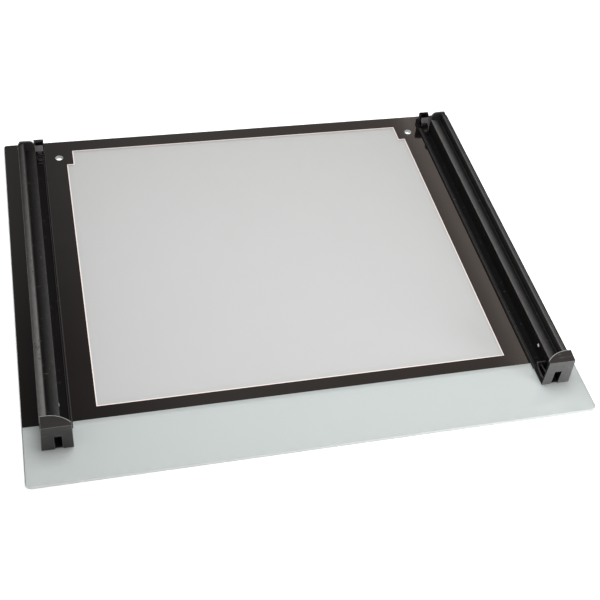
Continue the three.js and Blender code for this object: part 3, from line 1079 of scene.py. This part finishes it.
@dataclass
class SideRail:
    """The moulded rail: sloped crown, upright, hollowed shelf, inner wall and lipped foot."""

    side: Side
    outer: float = 279.4
    upright: float = 272.0
    shelf_in: float = 259.2
    foot_in: float = 247.6
    wall: float = 1.8
    crown: float = 30.5
    shoulder: float = 26.6
    shelf: float = 21.3
    dip: float = 2.4
    under: float = 17.1
    base: float = 0.7
    floor: float = 2.0
    lip: float = 3.4
    front: float = 53.8
    back: float = 480.0
    foot_front: float = 62.4
    foot_back: float = 485.8
    # Shelf, ridge and crown shares below paint highlights and reflections into the rubbed tone.
    shelf_reach: float = 0.85
    shelf_fall: float = 1.3
    ridge_place: float = 1.2
    ridge_half: float = 1.1
    ridge_highlight_levels: tuple[float, float] = (0.45, 0.8)
    corner_wear_and_highlight: float = 0.22
    # Share of crown and shelf, front then back, per rail. The rails differ because light falls on them
    # differently: painted highlights and reflections.
    rub: Mapping[Side, tuple[float, float, float, float]] = field(
        default_factory=lambda: {
            Side.RIGHT: (0.10, 0.02, 0.85, 1.05),
            Side.LEFT: (0.52, 0.04, 0.46, 0.20),
        }
    )

    def shelf_curve(self) -> list[Point]:
        """The shelf's hollow: height falls as a quarter sine from its inner edge, then runs level."""
        x = np.linspace(self.upright - 0.9, self.shelf_in + 0.9, 14)
        t = (x - self.shelf_in) / (self.upright - self.shelf_in)
        h = self.shelf - self.dip * np.sin(math.pi / 2 * np.minimum(1, 1.5 * t)) + 0.5 * t
        return [(float(a), float(b), 0.0) for a, b in zip(x, h)]

    def polish(self, section: np.ndarray, wear_and_highlight: np.ndarray, path: np.ndarray) -> np.ndarray:
        """Rubbing and painted light of a swept section: rubbed corners with a painted highlight,
        painted sheen on crown and ridge, and a painted reflection on the shelf from its inner edge.

        The shelf's share is (1 - t/reach)^fall, where t runs from 0 at its inner edge to 1 at the
        upright. The ridge's share falls to 0 in a straight line each side of its place on the crown.
        Crown and shelf change evenly between the painted share at the front and the painted share at
        the back.

        Args:
            section: (n, 2) x and height.
            wear_and_highlight: (n,) 1 on corners.
            path: (m,) distances from the front edge.

        Returns:
            (m, n) rubbing and painted highlight.
        """
        x, h = section.T
        t = (x - self.shelf_in) / (self.upright - self.shelf_in)
        on_shelf = (h > self.shelf - self.dip - 0.5) & (t > 0.005) & (t < 0.98)
        on_shelf &= h < self.shelf + 0.5
        on_crown = (h > self.shoulder - 0.6) & (x < self.outer - 0.5)
        # Painted reflection on the shelf: lightest at its inner edge, fading towards the upright.
        fall = np.clip(1 - t / self.shelf_reach, 0, 1) ** self.shelf_fall
        shelf = np.where(on_shelf, fall, 0)
        # Painted highlight line along the crown's ridge.
        off_ridge = np.abs(x - self.upright - self.ridge_place) / self.ridge_half
        ridge = np.where(on_crown, np.clip(1 - off_ridge, 0, 1), 0)
        s = ((path - self.front) / (self.back - self.front))[:, None]
        # Painted sheen and reflection on crown and shelf, set per rail for how light falls on it.
        crown_front, crown_back, shelf_front, shelf_back = self.rub[self.side]
        crown = crown_front * (1 - s) + crown_back * s
        flat = shelf_front * (1 - s) + shelf_back * s
        in_corner = (h < self.lip - 0.3) & (x > self.foot_in + 3.4)
        # Rubbed corners with a painted highlight.
        plain = np.where(on_shelf | on_crown | in_corner, 0, wear_and_highlight * self.corner_wear_and_highlight)
        least, share = self.ridge_highlight_levels
        return plain + on_crown * crown + (least + share * crown) * ridge + flat * shelf

    def channel(self) -> tuple[np.ndarray, np.ndarray]:
        """Section of the main channel, open towards the glass."""
        inner = self.shelf_in + self.wall
        return rounded_loop(
            [
                (self.outer, self.base, 0.2),
                (self.outer, self.shoulder, 1.3),
                (self.upright, self.crown + 0.1, 0.8),
                (self.upright, self.shelf - self.dip + 0.5, 0.7),
                *self.shelf_curve(),
                (self.shelf_in, self.shelf + 0.1, 0.7),
                (self.shelf_in, self.base, 0.2),
                (inner, self.base, 0.2),
                (inner, self.under, 1.2),
                (self.upright + self.wall, self.under, 0.8),
                (self.upright + self.wall, self.crown - 2.6, 0.4),
                (self.outer - self.wall, self.shoulder - 0.9, 0.4),
                (self.outer - self.wall, self.base + 1.6, 0.3),
                (self.upright + 0.5, self.base + 1.6, 0.2),
                (self.upright + 0.5, self.base, 0.2),
            ]
        )

    def foot(self) -> tuple[np.ndarray, np.ndarray]:
        """Section of the inner foot with its lip."""
        return rounded_loop(
            [
                (self.foot_in, self.base, 0.2),
                (self.shelf_in + 0.3, self.base, 0.0),
                (self.shelf_in + 0.3, self.floor + 0.7, 0.0),
                (self.shelf_in - 0.4, self.floor, 0.4),
                (self.foot_in + 3.5, self.floor, 0.4),
                (self.foot_in + 3.3, self.lip, 0.5),
                (self.foot_in + 0.5, self.lip, 0.6),
                (self.foot_in, self.floor - 0.4, 0.4),
            ],
            guard=0.5,
        )

    def build(self, bench: Workbench) -> None:
        """Builds the rail.

        Args:
            bench: workbench.
        """
        shell = Shell()
        runs = (
            (self.channel(), self.front, self.back),
            (self.foot(), self.foot_front, self.foot_back),
        )
        for (section, wear_and_highlight), front, back in runs:
            inner = np.linspace(front + 1.2, back - 1.2, 60)
            path = np.concatenate([[front, front + 0.3], inner, [back - 0.3, back]])
            shell.sweep(section, self.polish(section, wear_and_highlight, path), path)
        rail = shell.piece(f"rail_moulding_{self.side.letter}", self.side, bench.palette.rail)
        bench.fit(rail, "panel", "rail", f"side_rail_{self.side.letter}")


@dataclass
class BondLines:
    """Silicone under the rail's feet and the end block, its edges squeezed out unevenly."""

    side: Side
    inner: tuple[float, float] = (247.9, 260.8)
    outer: tuple[float, float] = (272.8, 279.1)
    span: tuple[float, float] = (71.2, 479.4)
    inner_end: float = 503.0
    top: float = 0.68
    bottom: float = 0.21

    def strip(self, low: float, high: float, start: float, end: float, seed: int) -> np.ndarray:
        """Outline of one bead: straight sides shifted by three summed sines.

        Args:
            low: inner side.
            high: outer side.
            start: front end.
            end: back end.
            seed: picks the phases.

        Returns:
            (n, 2) loop.
        """
        phase = np.random.default_rng(seed).uniform(0, 2 * math.pi, (2, 3))
        y = np.linspace(start, end, 120)
        wave = np.array([0.09, 0.07, 0.05])
        length = np.array([41.0, 17.0, 7.3])
        shift = [
            (wave * np.sin(2 * math.pi * y[:, None] / length + p)).sum(1) for p in phase
        ]
        near = np.stack([high + shift[0], y], 1)
        far = np.stack([low + shift[1], y], 1)[::-1]
        return np.concatenate([near, far])

    def build(self, bench: Workbench) -> None:
        """Builds the beads of one side.

        Args:
            bench: workbench.
        """
        letter = self.side.letter
        runs = {
            "rail_bond_inner": (*self.inner, self.span[0], self.inner_end),
            "rail_bond_outer": (*self.outer, *self.span),
        }
        for seed, (node, (low, high, start, end)) in enumerate(runs.items()):
            shell = Shell()
            loop = self.strip(low, high, start, end, seed + 11)
            shell.plate(loop, self.bottom, self.top, 0.12, (), 2)
            bead = shell.piece(f"{node}_bead_{letter}", self.side, bench.palette.bond)
            bench.fit(bead, "panel", "bond", f"{node}_{letter}")
        for node in ("block_bond_inner", "block_bond_outer"):
            pad = eased_copy(
                bench.nodes[f"{node}_{letter}"],
                f"{node}_pad_{letter}",
                bench.palette.bond,
                bench.palette.bond,
                0.15,
            )
            bench.fit(pad, "panel", "bond", f"{node}_{letter}")


@dataclass
class EndBlock:
    """The slotted end block of one side."""

    side: Side
    edge: float = 0.45

    def build(self, bench: Workbench) -> None:
        """Builds the block.

        Args:
            bench: workbench.
        """
        letter = self.side.letter
        block = eased_copy(
            bench.nodes[f"end_block_{letter}"],
            f"block_moulding_{letter}",
            bench.palette.block,
            bench.palette.block_edge,
            self.edge,
        )
        self.paint_shade_on_inner_side(block, bench.palette.block_side)
        bench.fit(block, "panel", "block", f"end_block_{letter}")

    def paint_shade_on_inner_side(self, block: bpy.types.Object, finish: Material) -> None:
        """Paints shade on the flat faces that look towards the window: they take a darker copy of the
        plastic.

        Args:
            block: the block's copy.
            finish: the darker copy of the plastic, unrubbed: painted shade.
        """
        block.data.materials.append(finish)
        # Painted shade on the faces towards the window.
        for face in block.data.polygons:
            if -face.normal.x * self.side.value > 0.9:
                face.material_index = 2


@dataclass
class HandleEnd:
    """Cap, catch bracket, tongue and screw at the handle edge, and the rivet near the block."""

    side: Side
    screw: tuple[float, float] = (254.8, 478.5)
    screw_seat: float = 3.45
    screw_head: float = 3.0
    rivet: tuple[float, float] = (84.0, 13.0)
    rivet_face: float = 259.2
    rivet_head: float = 1.95
    rivet_shank: float = 1.25

    def mouldings(self, bench: Workbench) -> None:
        """Cap, bracket and tongue.

        Args:
            bench: workbench.
        """
        p = bench.palette
        letter = self.side.letter
        tongue_body = "tongue_right" if self.side is Side.RIGHT else "tongue_left"
        table = (
            ("rail_cap", "cap_moulding", p.cap, p.rail_edge, 0.4, "panel", "rail"),
            ("catch_bracket", "bracket_moulding", p.rail, p.rail_edge, 0.25, "panel", "block"),
            ("catch_tongue", "tongue_moulding", p.catch, p.catch_edge, 0.2, tongue_body, "catch"),
        )
        for node, name, finish, rubbed, radius, body, slot in table:
            piece = eased_copy(
                bench.nodes[f"{node}_{letter}"], f"{name}_{letter}", finish, rubbed, radius
            )
            bench.fit(piece, body, slot, f"{node}_{letter}")

    def fixings(self, bench: Workbench) -> None:
        """Screw with a turned recess, and the domed rivet.

        Args:
            bench: workbench.
        """
        letter = self.side.letter
        screw = Shell()
        a = np.linspace(0, math.pi / 2, 6)
        seat = self.screw_seat
        dome = np.stack(
            [self.screw_head - 1.1 * (1 - np.cos(a)), seat + 0.75 + 0.8 * np.sin(a)], 1
        )
        recess = np.array([[1.0, seat + 1.5], [0.6, seat + 0.6], [0, seat + 0.5]])
        shank = np.array([[0, 0.8], [1.1, 0.9], [1.2, seat - 0.1], [self.screw_head, seat]])
        screw.turned(
            np.concatenate([shank, dome, recess]),
            (self.screw[0], self.screw[1] - HALF_DEPTH, GLASS_T),
            Plane.PLAN,
        )
        head = screw.piece(f"bracket_screw_head_{letter}", self.side, bench.palette.screw)
        bench.fit(head, "panel", "steel", f"bracket_screw_{letter}")
        rivet = Shell()
        face, head, shank = self.rivet_face, self.rivet_head, self.rivet_shank
        crown = np.stack([head * np.sin(a), face - 0.03 - 0.25 * np.cos(a)], 1)
        body = np.array([[head, face], [shank, face + 0.05], [shank, face + 3.1], [0, face + 3.2]])
        rivet.turned(
            np.concatenate([crown, body]),
            (0, self.rivet[0] - HALF_DEPTH, self.rivet[1] + GLASS_T),
            Plane.ELEVATION,
        )
        pin = rivet.piece(f"rail_rivet_pin_{letter}", self.side, bench.palette.pin)
        bench.fit(pin, "panel", "steel", f"rail_rivet_{letter}")

    def build(self, bench: Workbench) -> None:
        """Builds every piece at this end.

        Args:
            bench: workbench.
        """
        self.mouldings(bench)
        self.fixings(bench)


# ------------------------------------------------------------------------ studio


@dataclass(frozen=True)
class SoftLight:
    """A rectangular light that glossy surfaces don't show. Metres and watts."""

    name: str
    place: Point
    aim: Point
    size: tuple[float, float]
    watts: float
    tint: Colour = (0.95, 1.0, 1.03)

    def build(self) -> None:
        """Hangs the light."""
        data = bpy.data.lights.new(self.name, "AREA")
        data.shape = "RECTANGLE"
        data.size, data.size_y = self.size
        data.energy = self.watts
        data.color = self.tint
        made = bpy.data.objects.new(self.name, data)
        made.location = self.place
        direction = Vector(self.aim) - Vector(self.place)
        made.rotation_euler = direction.to_track_quat("-Z", "Y").to_euler()
        made.visible_glossy = False
        bpy.context.scene.collection.objects.link(made)


@dataclass(frozen=True)
class Surround:
    """Soft surroundings: a dim side at the left, a long pale panel at the right.

    Brightness is a sum of smooth steps of x/z and y/z, where (x, y, z) is the direction. Each step is
    given as its middle and half its width.
    """

    low: float = 0.12
    back: float = 0.26
    back_from: tuple[float, float] = (0.95, 0.22)
    middle: float = 0.53
    middle_from: tuple[float, float] = (0.06, 0.13)
    far_drop: float = 0.75
    far_from: tuple[float, float] = (0.95, 0.3)
    panel: float = 3.0
    panel_from: tuple[float, float] = (0.56, 0.035)
    panel_to: tuple[float, float] = (0.571, 0.011)
    left: float = 0.9
    left_to: tuple[float, float] = (-0.6, 0.25)
    left_end: tuple[float, float] = (1.8, 0.35)
    warm_from: tuple[float, float] = (0.2, 0.35)
    cool: Colour = (1.0, 0.97, 0.95)
    warm: Colour = (1.0, 0.86, 0.79)
    least_height: float = 0.04

    def build(self) -> None:
        """Builds the surroundings as the scene's world."""
        tree = SkyTree("studio_sky")
        x, y, z = tree.axes(tree.node("ShaderNodeTexCoord", out="Generated"))
        up = z.at_least(self.least_height)
        across, along = x / up, y / up
        right = across.over(*self.middle_from)
        light = self.low + self.back * along.over(*self.back_from) * (1 - right)
        light = light + self.middle * right * (1 - self.far_drop * across.over(*self.far_from))
        edges = across.over(*self.panel_from) - across.over(*self.panel_to)
        light = light + self.panel * edges
        near_left = (1 - across.over(*self.left_to)) * (1 - along.over(*self.left_end))
        light = light + self.left * near_left
        tint = tree.blend(across.over(*self.warm_from), self.cool, self.warm)
        shader = tree.node("ShaderNodeBackground", {}, {"Color": tint, "Strength": light})
        tree.node("ShaderNodeOutputWorld", {}, {"Surface": shader}, out=None)
        bpy.context.scene.world = tree.owner


@dataclass
class Studio:
    """Pale floor, soft lights and the camera. Angles in degrees, distances in metres."""

    azimuth: float = -18.098
    elevation: float = 46.573
    roll: float = 7.177
    distance: float = 1.19878
    target: Point = (0.01639, -0.05731, 0.004)
    lens: float = 63.372
    floor_half: float = 6.0
    floor_drop: float = 0.0003
    floor_glow: float = 0.25
    lights: tuple[SoftLight, ...] = (
        SoftLight("overhead", (0.04, -0.04, 0.85), (0.04, -0.04, 0), (0.6, 0.6), 9.2),
        SoftLight("front_right", (0.75, -0.8, 0.22), (0.27, -0.2, 0), (0.35, 0.25), 8.0),
    )

    def camera(self) -> None:
        """Places the camera by azimuth, elevation, roll and distance from its target."""
        a, e = math.radians(self.azimuth), math.radians(self.elevation)
        back = Vector((math.sin(a) * math.cos(e), -math.cos(a) * math.cos(e), math.sin(e)))
        right = (-back).cross(Vector((0, 0, 1))).normalized()
        up = right.cross(-back)
        roll = math.radians(self.roll)
        tilted = right * math.cos(roll) + up * math.sin(roll)
        raised = up * math.cos(roll) - right * math.sin(roll)
        data = bpy.data.cameras.new("camera")
        data.lens = self.lens
        data.sensor_width = 36.0
        data.clip_start, data.clip_end = 0.05, 50.0
        made = bpy.data.objects.new("camera", data)
        turn = Matrix((tilted, raised, back)).transposed().to_4x4()
        made.matrix_world = Matrix.Translation(Vector(self.target) + back * self.distance) @ turn
        bpy.context.scene.collection.objects.link(made)
        bpy.context.scene.camera = made

    def floor(self) -> None:
        """A pale floor just under the glass."""
        mesh = bpy.data.meshes.new("studio_floor")
        half = self.floor_half
        corners = [(-half, -half), (half, -half), (half, half), (-half, half)]
        mesh.from_pydata([(x, y, -self.floor_drop) for x, y in corners], [], [(0, 1, 2, 3)])
        tree = Tree("studio_paper")
        tone = tree.noise(3.0, 2.0)
        colour = tree.blend(tone, (0.90, 0.90, 0.90), (0.93, 0.93, 0.93))
        glow = {"Emission_Color": (1.0, 1.0, 1.0, 1.0), "Emission_Strength": self.floor_glow}
        mesh.materials.append(tree.finish(Base_Color=colour, Roughness=0.9, IOR=1.2, **glow))
        made = bpy.data.objects.new("studio_floor", mesh)
        bpy.context.scene.collection.objects.link(made)

    def build(self) -> None:
        """Builds the studio."""
        self.camera()
        self.floor()
        Surround().build()
        for light in self.lights:
            light.build()
        bpy.context.scene.view_settings.view_transform = "Standard"


def main() -> None:
    """Builds the panel in order."""
    logging.basicConfig(level=logging.INFO, format="%(name)s: %(message)s")
    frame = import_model()
    bench = Workbench(frame["nodes"], Palette())
    Studio().build()
    DoorGlass().build(bench)
    for side in Side:
        SideRail(side).build(bench)
        BondLines(side).build(bench)
        EndBlock(side).build(bench)
        HandleEnd(side).build(bench)


if __name__ == "__main__":
    main()
